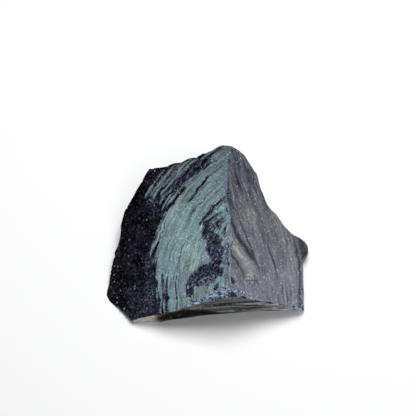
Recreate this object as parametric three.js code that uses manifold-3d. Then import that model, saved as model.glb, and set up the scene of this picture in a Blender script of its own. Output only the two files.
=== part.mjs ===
// Blue goldstone: one rough chunk of aventurine glass, broken out of a melt with a hammer.
// Millimetres, +Z up. The chunk lies on its one flat break. The origin is on that break,
// under the middle of the chunk; the ridge runs front (-Y) to back (+Y).
//
// The chunk is what is left of a block of glass after every break has taken its share away.
// A break starts where the hammer struck, runs along one plane, is slightly hollow or
// bowed, and carries rings round the point it was struck at.

import * as THREE from "three";
import { mergeVertices } from "three/addons/utils/BufferGeometryUtils.js";
import Module from "manifold-3d";

// the block the chunk is broken from: wide, deep, high
const blockSize = [84, 72, 34];

// how finely a break is drawn
const breakReach = 128;
const breakStep = 2.7;

// the breaks: a point each runs through, the way it faces (degrees round from +X, degrees
// up), where it was struck, the radius of its bow (minus for hollow), its ring height and
// spacing, and its lump height; a dent is where it lies in plan, its width, length and depth
const breaks = {
  // the broad face on the left, with the sheen; it falls away a little at its far side
  leftFace: {
    at: [-5.2, -0.1, 18.6], facing: [206, 65.5], strike: [38, -27, 34], bow: 900,
    rings: [0.1, 8], lumps: 0.2, seed: 1, hinge: [57, 0.045],
    dents: [[2.6, -2.6, 8, 15, 0.32], [-1.4, -18.4, 14, 11, 0.4], [-9, 8, 22, 12, 0.25]],
  },
  // the narrower face on the right of the ridge, very slightly hollow
  rightFace: {
    at: [13.3, 0.2, 19.3], facing: [-16.5, 56.2], strike: [6, 34, 30], bow: -300,
    rings: [0.05, 8], lumps: 0.2, seed: 2,
  },
  // the upright front, from the left toe to the right corner
  frontFace: {
    at: [3.5, -27.1, 6], facing: [-85.2, 0], strike: [9, -26, 18], bow: -800,
    rings: [0.1, 7], lumps: 0.15, seed: 3,
  },
  // a long shallow flake gone from the foot of the front
  frontFoot: {
    at: [20, -24.1, 0], facing: [-88, -20], strike: [9, -26, 18], bow: -245,
    rings: [0.1, 7], lumps: 0.15, seed: 4,
  },
  // the upright front of the left toe
  toeFoot: {
    at: [-20, -28.25, 1], facing: [-88, -2], strike: [-36, -30, 4], bow: -70,
    rings: [0.05, 7], lumps: 0.1, seed: 15,
  },
  // the slanting end of the toe
  toeEnd: {
    at: [-30.7, -24.3, 2.15], facing: [227, -12], strike: [-36, -20, 4], bow: -60,
    rings: [0.05, 7], lumps: 0.1, seed: 5,
  },
  // the long low wall on the left and its upper part
  leftWall: {
    at: [-34, -4.5, 5.7], facing: [165.1, -12], strike: [-30, 10, 14], bow: 900,
    rings: [0.12, 7], lumps: 0.2, seed: 6,
  },
  leftShoulder: {
    at: [-26.5, 18.4, 13.3], facing: [144.3, -12], strike: [-30, 10, 14], bow: 600,
    rings: [0.12, 7], lumps: 0.2, seed: 7,
  },
  // the back, hollow from the shoulder up to the apex
  backWall: {
    at: [-7.9, 25.6, 22.1], facing: [99.5, 10], strike: [-34, 22, 26], bow: -80,
    rings: [0.22, 5.4], lumps: 0.2, seed: 8,
  },
  // the short edge that makes the apex blunt
  apexWall: {
    at: [10.6, 26.9, 27.7], facing: [72.2, 5], strike: [8, 28, 30], bow: 300,
    rings: [0.05, 7], lumps: 0.1, seed: 16,
  },
  // the back on the right: a short upper part, then a long hollow sweep down to the corner
  sweepTop: {
    at: [15.6, 23.2, 24], facing: [32.6, 10], strike: [8, 28, 30], bow: -250,
    rings: [0.08, 7], lumps: 0.2, seed: 9,
  },
  sweep: {
    at: [23.45, 8.6, 15], facing: [33, 8], strike: [34.5, 1, 5], bow: -36,
    rings: [0.1, 7], lumps: 0.15, seed: 10, bulb: [1.2, 4.2],
  },
  // the right wall, with the swelling where it was struck
  rightWall: {
    at: [34.3, -12, 5.8], facing: [-0.5, 8], strike: [34.3, -1.1, 3.1], bow: 400,
    rings: [0.08, 7], lumps: 0.1, seed: 11, bulb: [2.3, 3.6],
  },
  // the big flake gone from under the back
  underBack: {
    at: [6, 26, 5], facing: [80, -38], strike: [-10, 26, 8], bow: 120,
    rings: [0.12, 7], lumps: 0.35, seed: 12,
  },
};

// shell-shaped scars: the middle of each on the surface, the way it faces, how wide across
// and how deep
const scars = [
  // nicks down the ridge
  { at: [7.6, 9.6, 25.4], facing: [-40, 70], width: 3.6, depth: 0.5 },
  { at: [6.9, 4.2, 24.4], facing: [250, 75], width: 2.4, depth: 0.35 },
  { at: [7.9, -12.6, 21.3], facing: [-30, 70], width: 2.8, depth: 0.4 },
  { at: [8.4, 21.5, 27.6], facing: [200, 75], width: 2.6, depth: 0.4 },
  // crumbs gone from the lip over the front
  { at: [8.6, -26.9, 18], facing: [-88, 46], width: 5.2, depth: 0.95 },
  { at: [4.6, -27.2, 16.7], facing: [-95, 42], width: 3.8, depth: 0.6 },
  { at: [2, -27.5, 15.7], facing: [-95, 38], width: 3.2, depth: 0.5 },
  { at: [-3.4, -28, 13.3], facing: [-95, 36], width: 2.6, depth: 0.4 },
  { at: [13.2, -26.5, 15.8], facing: [-75, 40], width: 3, depth: 0.45 },
  { at: [22.6, -25.8, 9.9], facing: [-75, 38], width: 2.4, depth: 0.35 },
  // chips at the right corner
  { at: [34.4, -24.8, 2.8], facing: [-35, 30], width: 3.4, depth: 0.7 },
  { at: [34.2, -18.6, 4.7], facing: [-5, 40], width: 3, depth: 0.45 },
  // big scars round the back, from the first breaking
  { at: [-10, 24.5, 7], facing: [112, -20], width: 14, depth: 1.4 },
  { at: [16, 21, 5], facing: [50, -14], width: 12, depth: 1.2 },
  { at: [-31, 3, 3.5], facing: [166, -16], width: 10, depth: 0.9 },
];

const { PI, sin, cos, hypot, min, max, floor, exp, sqrt, sign, abs } = Math;

function facingVector([azimuth, elevation]) {
  const round = (azimuth * PI) / 180;
  const up = (elevation * PI) / 180;
  return new THREE.Vector3(cos(up) * cos(round), cos(up) * sin(round), sin(up));
}

// one number from -1 to 1 for a corner of the noise lattice
function cornerValue(i, j, seed) {
  let n = Math.imul(i, 374761393) + Math.imul(j, 668265263) + Math.imul(seed, 2147483647);
  n = Math.imul(n ^ (n >>> 13), 1274126177) >>> 0;
  return ((n ^ (n >>> 16)) & 0xffff) / 32767.5 - 1;
}

// smooth random lumps, -1 to 1, one lump to a unit
function lumpNoise(x, y, seed) {
  const i = floor(x);
  const j = floor(y);
  const fx = (x - i) ** 2 * (3 - 2 * (x - i));
  const fy = (y - j) ** 2 * (3 - 2 * (y - j));
  const low = cornerValue(i, j, seed) * (1 - fx) + cornerValue(i + 1, j, seed) * fx;
  const high = cornerValue(i, j + 1, seed) * (1 - fx) + cornerValue(i + 1, j + 1, seed) * fx;
  return low * (1 - fy) + high * fy;
}

// how far dents lower a surface at one place in plan
function dentDepth(dents, x, y) {
  let low = 0;
  for (const [middleX, middleY, width, length, depth] of dents) {
    const away = ((x - middleX) / (width / 2)) ** 2 + ((y - middleY) / (length / 2)) ** 2;
    low += depth * max(1 - away, 0) ** 1.5;
  }
  return low;
}

// height of a break over its plane: x and y from its own point, p and q from the strike
function breakHeight(spec, x, y, p, q) {
  const reach = min(hypot(x, y), 0.9 * abs(spec.bow));
  const fromStrike = hypot(p, q);
  const [ringHeight, ringGap] = spec.rings;
  const [hingeAt, hingeSlope] = spec.hinge ?? [0, 0];
  const [bulbHeight, bulbWidth] = spec.bulb ?? [0, 1];
  const wander = 1.2 * lumpNoise(p / 9, q / 9, spec.seed);
  const ring = sin((2 * PI * fromStrike) / ringGap + wander) * min(fromStrike / 20, 1);
  const bow = -sign(spec.bow) * (abs(spec.bow) - sqrt(spec.bow ** 2 - reach ** 2));
  return (
    bow +
    ringHeight * ring +
    spec.lumps * lumpNoise(p / 11 + 3.3, q / 11, spec.seed + 5) +
    bulbHeight * exp(-((fromStrike / bulbWidth) ** 3)) -
    hingeSlope * max(fromStrike - hingeAt, 0)
  );
}

const wasm = await Module();
wasm.setup();

function toSolid(geometry) {
  geometry.deleteAttribute("normal");
  geometry.deleteAttribute("uv");
  const merged = mergeVertices(geometry, 1e-5);
  return new wasm.Manifold(
    new wasm.Mesh({
      numProp: 3,
      vertProperties: new Float32Array(merged.attributes.position.array),
      triVerts: new Uint32Array(merged.index.array),
    })
  );
}

// the glass one break takes away: a slab whose inner side is the broken surface
function brokenAway(spec) {
  const out = facingVector(spec.facing);
  const at = new THREE.Vector3(...spec.at);
  const run = at.clone().sub(new THREE.Vector3(...spec.strike));
  const along = run.clone().addScaledVector(out, -run.dot(out)).normalize();
  const across = out.clone().cross(along);
  const alongRun = run.dot(along);
  const acrossRun = run.dot(across);

  const steps = Math.round(breakReach / breakStep);
  const slab = new THREE.BoxGeometry(breakReach, breakReach, 60, steps, steps, 1);
  slab.translate(0, 0, 30);
  const spots = slab.attributes.position;
  for (let i = 0; i < spots.count; i++) {
    if (spots.getZ(i) > 1) continue;
    const x = spots.getX(i);
    const y = spots.getY(i);
    const spot = at.clone().addScaledVector(along, x).addScaledVector(across, y);
    const height = breakHeight(spec, x, y, x + alongRun, y + acrossRun);
    spots.setZ(i, height - dentDepth(spec.dents ?? [], spot.x, spot.y));
  }
  slab.applyMatrix4(new THREE.Matrix4().makeBasis(along, across, out).setPosition(at));
  return toSolid(slab);
}

// the flake one scar takes away: a ball that dips into the surface
function flakedAway({ at, facing, width, depth }) {
  const radius = (width ** 2 / 4 + depth ** 2) / (2 * depth);
  const rows = Math.round((PI * radius) / min(2.4, width / 5));
  const ball = new THREE.SphereGeometry(radius, 2 * rows, rows);
  const out = facingVector(facing);
  const turn = new THREE.Quaternion().setFromUnitVectors(new THREE.Vector3(1, 0, 0), out);
  ball.applyQuaternion(turn);
  const middle = new THREE.Vector3(...at).addScaledVector(out, radius - depth);
  ball.translate(middle.x, middle.y, middle.z);
  return toSolid(ball);
}

const block = new THREE.BoxGeometry(...blockSize);
block.translate(0, 0, blockSize[2] / 2);
let chunk = toSolid(block);
for (const spec of Object.values(breaks)) chunk = chunk.subtract(brokenAway(spec));
for (const scar of scars) chunk = chunk.subtract(flakedAway(scar));

const solid = chunk.getMesh();
const shape = new THREE.BufferGeometry();
shape.setAttribute("position", new THREE.BufferAttribute(new Float32Array(solid.vertProperties), 3));
shape.setIndex(new THREE.BufferAttribute(new Uint32Array(solid.triVerts), 1));
shape.computeBoundingBox();
const box = shape.boundingBox;
shape.translate(-(box.min.x + box.max.x) / 2, -(box.min.y + box.max.y) / 2, -box.min.z);
shape.computeVertexNormals();

const glass = new THREE.MeshStandardMaterial({ color: 0x1b1c2b, roughness: 0.3, metalness: 0 });
const goldstone = new THREE.Mesh(shape, glass);
goldstone.name = "goldstone_chunk";

const object = new THREE.Group();
object.name = "blue_goldstone";
object.add(goldstone);
export default object;
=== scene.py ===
import math
import bpy
import numpy as np
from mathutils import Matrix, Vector


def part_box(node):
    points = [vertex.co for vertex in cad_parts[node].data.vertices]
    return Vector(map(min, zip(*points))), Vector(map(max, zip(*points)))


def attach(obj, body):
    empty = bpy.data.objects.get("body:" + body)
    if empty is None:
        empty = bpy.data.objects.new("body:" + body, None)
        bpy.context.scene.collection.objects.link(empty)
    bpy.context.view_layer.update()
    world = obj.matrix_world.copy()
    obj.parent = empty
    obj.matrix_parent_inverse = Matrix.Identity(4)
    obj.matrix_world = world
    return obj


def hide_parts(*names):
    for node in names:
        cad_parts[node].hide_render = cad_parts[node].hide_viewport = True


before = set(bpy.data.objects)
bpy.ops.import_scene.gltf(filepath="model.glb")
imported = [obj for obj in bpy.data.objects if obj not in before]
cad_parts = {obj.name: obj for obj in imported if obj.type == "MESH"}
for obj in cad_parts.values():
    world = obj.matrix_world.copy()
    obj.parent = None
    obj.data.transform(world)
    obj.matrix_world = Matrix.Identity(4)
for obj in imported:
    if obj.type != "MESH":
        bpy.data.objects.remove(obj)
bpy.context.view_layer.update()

mm = 0.001


# small helpers

def srgb(code):
    # sRGB hex to linear: divide by 12.92 low down, else ((v + 0.055) / 1.055) to the power 2.4
    parts = [int(code[i:i + 2], 16) / 255 for i in (1, 3, 5)]
    return [v / 12.92 if v <= 0.04045 else ((v + 0.055) / 1.055) ** 2.4 for v in parts] + [1.0]


def unit(rows):
    return rows / np.linalg.norm(rows, axis=-1, keepdims=True)


def facingVector(azimuth, elevation):
    # the way a break faces: azimuth round from +X, elevation up from level, in degrees
    a, e = math.radians(azimuth), math.radians(elevation)
    return np.array([math.cos(e) * math.cos(a), math.cos(e) * math.sin(a), math.sin(e)])


def smoothStep(low, high, x):
    # 0 below low, 1 above high, eased between
    t = np.clip((x - low) / (high - low), 0, 1)
    return t * t * (3 - 2 * t)


def lumpNoise(x, y, seed):
    # smooth random lumps, -1 to 1: a random value at each lattice corner, eased between corners
    i, j = np.floor(x).astype(np.int64), np.floor(y).astype(np.int64)
    fx, fy = smoothStep(0, 1, x - i), smoothStep(0, 1, y - j)

    def corner(a, b):
        # large odd numbers scatter the bits of the corner's place
        n = (a * 374761393 + b * 668265263 + seed * 2147483647) & 0xFFFFFFFF
        n = ((n ^ (n >> 13)) * 1274126177) & 0xFFFFFFFF
        return ((n ^ (n >> 16)) & 0xFFFF) / 32767.5 - 1

    low = corner(i, j) * (1 - fx) + corner(i + 1, j) * fx
    high = corner(i, j + 1) * (1 - fx) + corner(i + 1, j + 1) * fx
    return low * (1 - fy) + high * fy


# the chunk, in millimetres and degrees, in the frame its breaks were laid out in

def cleft(at, facing, strike, bow, rings, lumps, seed, **more):
    # one break: a point in it, the way it faces (azimuth, elevation), where it was struck, the
    # radius of its bow (minus for hollow), height and spacing of its rings, height of its lumps.
    # Some have a hinge (start, slope), a bulb (height, width), dents (middle in plan, width,
    # length, depth).
    made = {"at": at, "facing": facing, "strike": strike, "bow": bow, "rings": rings}
    return {**made, "lumps": lumps, "seed": seed, **more}


chunk = {
    "heart": (2, -2, 6),  # a point inside that every spot of the skin can be seen from
    "rows": 200,  # front to back over the top
    "leftColumns": 134,
    "rightColumns": 90,
    "wallRows": 30,
    "underRings": (0.985, 0.955, 0.9, 0.78, 0.55),  # the underside's rings, as shares of the foot
    "mostStretch": 1.004,  # when it is set into the CAD solid's box
    "breaks": {
        "leftFace": cleft((-5.2, -0.1, 18.6), (206, 65.5), (38, -27, 34), 900, (0.1, 8), 0.2, 1,
            hinge=(57, 0.045),
            dents=[(2.6, -2.6, 8, 15, 0.32), (-1.4, -18.4, 14, 11, 0.4), (-9, 8, 22, 12, 0.25)]),
        "rightFace": cleft((13.3, 0.2, 19.3), (-16.5, 56.2), (6, 34, 30), -300, (0.05, 8), 0.2, 2),
        "frontFace": cleft((3.5, -27.1, 6), (-85.2, 0), (9, -26, 18), -800, (0.1, 7), 0.15, 3),
        "frontFoot": cleft((20, -24.1, 0), (-88, -20), (9, -26, 18), -245, (0.1, 7), 0.15, 4),
        "toeFoot": cleft((-20, -28.25, 1), (-88, -2), (-36, -30, 4), -70, (0.05, 7), 0.1, 15),
        "toeEnd": cleft((-30.7, -24.3, 2.15), (227, -12), (-36, -20, 4), -60, (0.05, 7), 0.1, 5),
        "leftWall": cleft((-34, -4.5, 5.7), (165.1, -12), (-30, 10, 14), 900, (0.12, 7), 0.2, 6),
        "leftShoulder": cleft((-26.5, 18.4, 13.3), (144.3, -12), (-30, 10, 14), 600, (0.12, 7),
            0.2, 7),
        "backWall": cleft((-7.9, 25.6, 22.1), (99.5, 10), (-34, 22, 26), -80, (0.22, 5.4), 0.2, 8),
        "apexWall": cleft((10.6, 26.9, 27.7), (72.2, 5), (8, 28, 30), 300, (0.05, 7), 0.1, 16),
        "sweepTop": cleft((15.6, 23.2, 24), (32.6, 10), (8, 28, 30), -250, (0.08, 7), 0.2, 9),
        "sweep": cleft((23.45, 8.6, 15), (33, 8), (34.5, 1, 5), -36, (0.1, 7), 0.15, 10,
            bulb=(1.2, 4.2)),
        "rightWall": cleft((34.3, -12, 5.8), (-0.5, 8), (34.3, -1.1, 3.1), 400, (0.08, 7), 0.1, 11,
            bulb=(2.3, 3.6)),
        "underBack": cleft((6, 26, 5), (80, -38), (-10, 26, 8), 120, (0.12, 7), 0.35, 12),
        "restingBreak": cleft((0, 0, 0), (0, -90), (60, 10, 0), 1e6, (0, 7), 0, 13, hackle=0),
    },
    # scars: middle on the surface, way it faces, width, depth
    "scars": [
        ((7.6, 9.6, 25.4), (-40, 70), 3.6, 0.5), ((6.9, 4.2, 24.4), (250, 75), 2.4, 0.35),
        ((7.9, -12.6, 21.3), (-30, 70), 2.8, 0.4), ((8.4, 21.5, 27.6), (200, 75), 1.5, 0.22),
        ((8.6, -26.9, 18), (-88, 46), 5.2, 0.95), ((4.6, -27.2, 16.7), (-95, 42), 3.8, 0.6),
        ((2, -27.5, 15.7), (-95, 38), 3.2, 0.5), ((-3.4, -28, 13.3), (-95, 36), 2.6, 0.4),
        ((13.2, -26.5, 15.8), (-75, 40), 3, 0.45), ((22.6, -25.8, 9.9), (-75, 38), 2.4, 0.35),
        ((34.4, -24.8, 2.8), (-35, 30), 3.4, 0.7), ((34.2, -18.6, 4.7), (-5, 40), 3, 0.45),
        ((-10, 24.5, 7), (112, -20), 14, 1.4), ((16, 21, 5), (50, -14), 12, 1.2),
        ((-31, 3, 3.5), (166, -16), 10, 0.9),
    ],
    # the corners the skin's grid is laid between
    "corners": {
        "toe": (-27.1, -30.3, 3), "toeLeft": (-36, -20.4, 1.4), "leftSide": (-30, 9.6, 9.8),
        "shoulder": (-21.1, 24.4, 16.2), "apexLeft": (5.2, 28.2, 28), "apex": (8.8, 27.2, 28.8),
        "ridgeFront": (9, -26.9, 18.4), "ridgeLow": (7.4, -8, 22), "ridgeHigh": (7, 9, 25.3),
        "rightFront": (34.4, -25.2, 2.7), "rightBack": (32.6, 0.8, 8.8),
        "sweepMiddle": (23.9, 7.1, 15.4), "sweepTop": (17.9, 19.3, 21.6),
        "apexRight": (12.3, 26.4, 26.5),
    },
}


def breakFrame(spec):
    # out is the way it faces, along runs in its plane away from the strike
    out = facingVector(*spec["facing"])
    at, strike = np.array(spec["at"], float), np.array(spec["strike"], float)
    along = at - strike - out * ((at - strike) @ out)
    along = along / np.linalg.norm(along)
    return out, at, strike, along, np.cross(out, along)


relief = {
    "lump": 11,  # mm wide
    "ringRise": 20,  # mm from the strike to where the rings have their full height
    "hackle": 0.035,  # mm high
    "hackleStep": (1.3, 9),  # mm wide, mm long
}


def breakRelief(spec, places, strike, along, across):
    # rings are a sine of the distance from the strike, lumps are noise, a bulb is a swelling at
    # the strike, a dent a shallow bowl, a hinge a steady fall past one distance; hackle is fine
    # steps that run with the rings
    p, q, seed = (places - strike) @ along, (places - strike) @ across, spec["seed"]
    rho, phi = np.hypot(p, q), np.arctan2(q, p)
    ringHeight, ringGap = spec["rings"]
    turn = 2 * math.pi * rho / ringGap + 1.2 * lumpNoise(p / 9, q / 9, seed)
    height = ringHeight * np.sin(turn) * np.minimum(rho / relief["ringRise"], 1)
    height += spec["lumps"] * lumpNoise(p / relief["lump"] + 3.3, q / relief["lump"], seed + 5)
    if "bulb" in spec:
        tall, wide = spec["bulb"]
        height += tall * np.exp(-((rho / wide) ** 3))
    if "hinge" in spec:
        start, slope = spec["hinge"]
        height -= slope * np.maximum(rho - start, 0)
    for middleX, middleY, width, length, depth in spec.get("dents", []):
        x, y = (places[:, 0] - middleX) / (width / 2), (places[:, 1] - middleY) / (length / 2)
        height -= depth * np.maximum(1 - (x**2 + y**2), 0) ** 1.5
    hackle = spec.get("hackle", relief["hackle"])
    if hackle:
        wide, long = relief["hackleStep"]
        steps = rho / wide + 2.2 * lumpNoise(p / 14, q / 14, seed + 20)
        height += hackle * lumpNoise(steps, phi * 40 / long, seed + 21)
        height += hackle * 0.6 * lumpNoise(p / 3.1, q / 3.1, seed + 22)
    return height


def skinDistances(rays, heart, breaks, scars):
    # how far out along each ray each break lies: the near side of a big ball that has the break's
    # bow, then three rounds that add the relief there. A scar is the near side of its own ball.
    nowhere, farthest, flattest, leastSlant = 1e9, 90, 0.03, 0.12
    far = np.full((len(breaks) + len(scars), len(rays)), nowhere)
    for k, spec in enumerate(breaks):
        out, at, strike, along, across = breakFrame(spec)
        middle = at - out * spec["bow"] - heart
        near = rays @ middle
        inside = near * near - (middle @ middle - spec["bow"] ** 2)
        hit = (inside > 0) & (rays @ out > flattest)
        bare = near[hit] + math.copysign(1, spec["bow"]) * np.sqrt(inside[hit])
        missed = (bare < 0) | (bare > farthest)
        bare[missed] = farthest
        slant = np.maximum(rays[hit] @ out, leastSlant)
        reach = bare
        for _ in range(3):
            places = heart + reach[:, None] * rays[hit]
            reach = bare + breakRelief(spec, places, strike, along, across) / slant
        far[k, hit] = np.where(missed, nowhere, reach)
    for k, (at, facing, width, depth) in enumerate(scars):
        radius = (width * width / 4 + depth * depth) / (2 * depth)
        middle = np.array(at, float) + facingVector(*facing) * (radius - depth) - heart
        near = rays @ middle
        inside = near * near - (middle @ middle - radius * radius)
        hit = (inside > 0) & (near > 0)
        far[len(breaks) + k, hit] = near[hit] - np.sqrt(inside[hit])
    return far


def alongPath(points, steps):
    # evenly spaced points on a line through the given ones, by length, with each corner kept
    points = np.array(points, float)
    lengths = np.linalg.norm(np.diff(points, axis=0), axis=1)
    stops = np.round(np.concatenate([[0], np.cumsum(lengths)]) / lengths.sum() * steps)
    return np.stack([np.interp(np.arange(steps + 1), stops, points[:, i]) for i in range(3)], -1)


def patch(front, back, left, right):
    # a surface between four edges: left to right plus front to back, less the corners' own sheet
    u = np.linspace(0, 1, len(front))[None, :, None]
    v = np.linspace(0, 1, len(left))[:, None, None]
    sides = left[:, None] * (1 - u) + right[:, None] * u
    ends = front[None] * (1 - v) + back[None] * v
    sheet = (front[0] * (1 - u) + front[-1] * u) * (1 - v) + (back[0] * (1 - u) + back[-1] * u) * v
    return sides + ends - sheet


def skinGrid(spec, breaks, heart):
    # first guess at the skin: two patches that meet at the ridge, walls from their rim down to
    # the foot, and under it rings that halve their points as they go in
    rows, leftColumns, rightColumns = spec["rows"], spec["leftColumns"], spec["rightColumns"]

    def edge(steps, *names):
        return alongPath([spec["corners"][name] for name in names], steps)

    ridge = edge(rows, "ridgeFront", "ridgeLow", "ridgeHigh", "apex")
    leftTop = patch(
        edge(leftColumns, "toe", "ridgeFront"),
        edge(leftColumns, "shoulder", "apexLeft", "apex"),
        edge(rows, "toe", "toeLeft", "leftSide", "shoulder"),
        ridge,
    )
    rightTop = patch(
        edge(rightColumns, "ridgeFront", "rightFront"),
        edge(rightColumns, "apex", "apexRight", "sweepTop"),
        ridge,
        edge(rows, "rightFront", "rightBack", "sweepMiddle", "sweepTop"),
    )
    top = np.concatenate([leftTop, rightTop[:, 1:]], axis=1)
    columns = leftColumns + rightColumns
    number = np.arange((rows + 1) * (columns + 1)).reshape(rows + 1, columns + 1)
    rim = np.concatenate([number[0, :-1], number[:-1, -1], number[-1, :0:-1], number[:0:-1, 0]])
    around = len(rim)
    points = [top.reshape(-1, 3)]
    rimPoints = points[0][rim]

    # the foot: slide out from under the heart, along the ground, until a wall is nearer than it
    plan = rimPoints - heart
    plan[:, 2] = 0
    low, high = np.full(around, 0.3), np.full(around, 1.3)
    for _ in range(14):
        share = (low + high) / 2
        spots = heart + plan * share[:, None]
        spots[:, 2] = 0
        owner = skinDistances(unit(spots - heart), heart, breaks, []).argmin(0)
        onGround = owner == len(breaks) - 1
        low, high = np.where(onGround, share, low), np.where(onGround, high, share)
    foot = heart + plan * low[:, None]
    foot[:, 2] = 0

    cells = [number[:-1, :-1], number[:-1, 1:], number[1:, 1:], number[1:, :-1]]
    quads = [np.stack(cells, -1).reshape(-1, 4)]
    ring, count = rim, len(points[0])
    for k in range(1, spec["wallRows"] + 1):
        share = k / spec["wallRows"]
        points.append(rimPoints * (1 - share) + foot * share)
        below = count + np.arange(around)
        count += around
        quads.append(np.stack([below, np.roll(below, -1), np.roll(ring, -1), ring], -1))
        ring = below
    triangles, middle = [], foot.mean(0)
    for share in spec["underRings"]:
        if len(ring) % 2:
            break
        inner = middle + (foot[:: around // (len(ring) // 2)] - middle) * share
        below = count + np.arange(len(inner))
        count += len(inner)
        points.append(inner)
        a, b, d = ring[0::2], ring[1::2], np.roll(ring[0::2], -1)
        e = np.roll(below, -1)
        triangles += [np.stack(t, -1) for t in ((a, below, b), (b, below, e), (b, e, d))]
        ring = below
    points.append(middle[None])
    triangles.append(np.stack([ring, np.full(len(ring), count), np.roll(ring, -1)], -1))
    return np.concatenate(points), np.concatenate(quads), np.concatenate(triangles)


flakes = {
    "seed": 11,
    "count": 110,
    "width": (0.5, 2.4),  # mm
    "depth": (0.1, 0.22),  # as shares of the width
    "nearCrease": 0.25,  # mm
    "above": 0.8,  # mm over the ground
}


def edgeFlakes(spec, breaks, heart, guess):
    # tiny flakes gone from the sharp edges: shallow balls dipped in between the two faces at
    # random places on the creases
    rng = np.random.default_rng(flakes["seed"])
    rays = unit(guess - heart)
    far = skinDistances(rays, heart, breaks, spec["scars"])
    order = np.argsort(far, axis=0)[:2]
    first, second = np.take_along_axis(far, order, 0)
    crease = (second - first < flakes["nearCrease"]) & (order.max(0) < len(breaks))
    crease &= guess[:, 2] > flakes["above"]
    picked = rng.choice(np.flatnonzero(crease), flakes["count"], replace=False)
    facings = np.array([facingVector(*b["facing"]) for b in breaks])
    (small, wide), (shallow, deep) = flakes["width"], flakes["depth"]
    gone = []
    for i in picked:
        a, b = facings[order[0, i]], facings[order[1, i]]
        lean = rng.uniform(0.25, 0.75)
        out = unit(a * lean + b * (1 - lean) + rng.normal(0, 0.12, 3))
        width = small * (wide / small) ** (rng.random() ** 2)
        facing = math.degrees(math.atan2(out[1], out[0])), math.degrees(math.asin(out[2]))
        turn = math.acos(min(1, max(-1, a @ b)))
        depth = width * (shallow + (deep - shallow) * rng.random())
        depth += width / 4 * math.tan(turn / 4)  # half of what the edge stands over the flake's rim
        gone.append((heart + rays[i] * first[i], facing, width + 0.2, min(depth, width * 0.45)))
    return gone


def buildSkin(spec):
    heart = np.array(spec["heart"], float)
    breaks = list(spec["breaks"].values())
    guess, quads, loose = skinGrid(spec, breaks, heart)
    scars = spec["scars"] + edgeFlakes(spec, breaks, heart, guess)
    print("skin grid", len(guess), "points,", len(scars), "scars")

    def distances(places):
        return skinDistances(unit(places - heart), heart, breaks, scars)

    far = distances(guess)
    owner = far.argmin(0)
    # slide the points nearest each crease onto it: along a grid edge whose ends lie on breaks i
    # and j, the crease is where the two distances, taken as straight between the ends, are equal
    edges = np.stack([quads, np.roll(quads, -1, axis=1)], -1).reshape(-1, 2)
    edges = np.unique(np.sort(edges, axis=1), axis=0)
    a, b = edges[owner[edges[:, 0]] != owner[edges[:, 1]]].T
    i, j = owner[a], owner[b]
    fromA, fromB = far[j, a] - far[i, a], far[i, b] - far[j, b]
    share = fromA / np.maximum(fromA + fromB, 1e-9)
    mover, other = np.where(share < 0.5, a, b), np.where(share < 0.5, b, a)
    share = np.where(share < 0.5, share, 1 - share)
    order = np.argsort(share)[::-1]
    moved = np.zeros(len(guess), bool)
    moved[mover] = True
    target, step = np.arange(len(guess)), np.zeros(len(guess))
    target[mover[order]], step[mover[order]] = other[order], share[order]
    guess = guess + (guess[target] - guess) * step[:, None]
    far[:, moved] = distances(guess[moved])
    nearest = np.sort(far, axis=0)[:2]
    gap = nearest[1] - nearest[0]
    points = heart + unit(guess - heart) * nearest[0][:, None]

    # cut each quad along the diagonal that joins two crease points, or else the shorter one
    both = moved[quads[:, :2]] & moved[quads[:, 2:]]
    long = np.linalg.norm(points[quads[:, :2]] - points[quads[:, 2:]], axis=2)
    cut = np.where(both[:, 0] != both[:, 1], both[:, 0], long[:, 0] <= long[:, 1])
    triangles = np.concatenate([
        quads[cut][:, [0, 1, 2]], quads[cut][:, [0, 2, 3]],
        quads[~cut][:, [0, 1, 3]], quads[~cut][:, [1, 2, 3]], loose,
    ])
    first, second, third = (points[triangles[:, k]] for k in range(3))
    normals = np.cross(second - first, third - first)
    middles = points[triangles].mean(1)
    inward = ((middles - heart) * normals).sum(1) < 0
    triangles[inward] = triangles[inward][:, [0, 2, 1]]
    owners = distances(middles).argmin(0)
    print("skin", len(points), "points,", len(triangles), "triangles,", int(inward.sum()), "turned")
    return points, triangles, owners, gap, breaks


points, triangles, owners, gap, breaks = buildSkin(chunk)

# set the skin into the CAD solid's box: same middle, same foot, and no side past it
lowCorner, highCorner = (np.array(v) * 1000 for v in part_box("goldstone_chunk"))
span = np.minimum((highCorner - lowCorner) / np.ptp(points, axis=0), chunk["mostStretch"])
shift = (lowCorner + highCorner) / 2 - (points.max(0) + points.min(0)) / 2 * span
shift[2] = lowCorner[2] - points[:, 2].min() * span[2]
settled = points * span + shift
print("skin fitted, scale", span.round(4), "shift", shift.round(3))


# the camera looks down on the chunk from the front, 60 degrees up

view = {
    "elevation": 60,
    "lens": 100,
    "aim": (0.43, 9.74, 15),  # the point it looks at, in the frame of the breaks
    "distance": 416.7,  # mm
}


def addObject(name, data):
    made = bpy.data.objects.new(name, data)
    bpy.context.scene.collection.objects.link(made)
    return made


def placeLooking(name, data, place, way):
    # a camera or lamp at a place, looking one way
    made = addObject(name, data)
    made.location = place
    made.rotation_mode = "QUATERNION"
    made.rotation_quaternion = way.to_track_quat("-Z", "Y")
    return made


def placeCamera(v):
    e = math.radians(v["elevation"])
    way = Vector((0, math.cos(e), -math.sin(e)))
    aim = Vector(np.array(v["aim"]) * span + shift)
    data = bpy.data.cameras.new("camera")
    data.lens = v["lens"]
    data.clip_start = 0.01
    place = (aim - way * v["distance"]) * mm
    bpy.context.scene.camera = placeLooking("camera", data, place, way)


placeCamera(view)
print("camera placed")


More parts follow.
